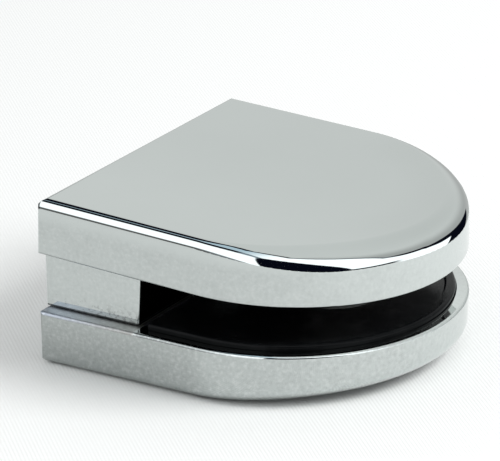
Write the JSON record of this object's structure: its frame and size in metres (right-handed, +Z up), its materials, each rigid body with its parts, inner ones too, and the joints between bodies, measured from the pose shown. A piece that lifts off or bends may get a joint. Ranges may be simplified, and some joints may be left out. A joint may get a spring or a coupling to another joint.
{
  "type": "glass panel clamp",
  "caption": "Chromed flat-backed glass clamp with a round front: two die-cast jaws with black rubber gaskets and a screwed lower jaw.",
  "frame": {"origin": "centre of the post bolt hole, on the flat back", "axes": "+X out of the flat back towards the glass, +Y across the clamp, +Z up through the jaws"},
  "size_m": [0.0506, 0.05, 0.0247],
  "materials": {
    "chrome": "polished chrome on a zinc casting",
    "rubber": "smooth black rubber",
    "steel": "plain zinc plated steel"
  },
  "bodies": {
    "upper": {"upper_jaw": "chrome", "upper_gasket": "rubber"},
    "lower": {"lower_jaw": "chrome", "lower_gasket": "rubber"},
    "left_screw": {"screw_left": "steel"},
    "right_screw": {"screw_right": "steel"}
  },
  "joints": [
    {"name": "jaw_slide", "type": "slide", "parent": "upper", "child": "lower", "axis": [0, 0, -1], "range_m": [0, 0.003]},
    {"name": "left_screw_turn", "type": "hinge", "parent": "lower", "child": "left_screw", "pos_m": [0.0078, -0.014, -0.00707], "axis": [0, 0, -1], "range_deg": [0, 1360]},
    {"name": "right_screw_turn", "type": "hinge", "parent": "lower", "child": "right_screw", "pos_m": [0.0078, 0.014, -0.00707], "axis": [0, 0, -1], "range_deg": [0, 1360]}
  ],
  "couplings": [
    {"joint": "left_screw_turn", "follows": "jaw_slide", "rad_per_m": 7854},
    {"joint": "right_screw_turn", "follows": "jaw_slide", "rad_per_m": 7854}
  ]
}
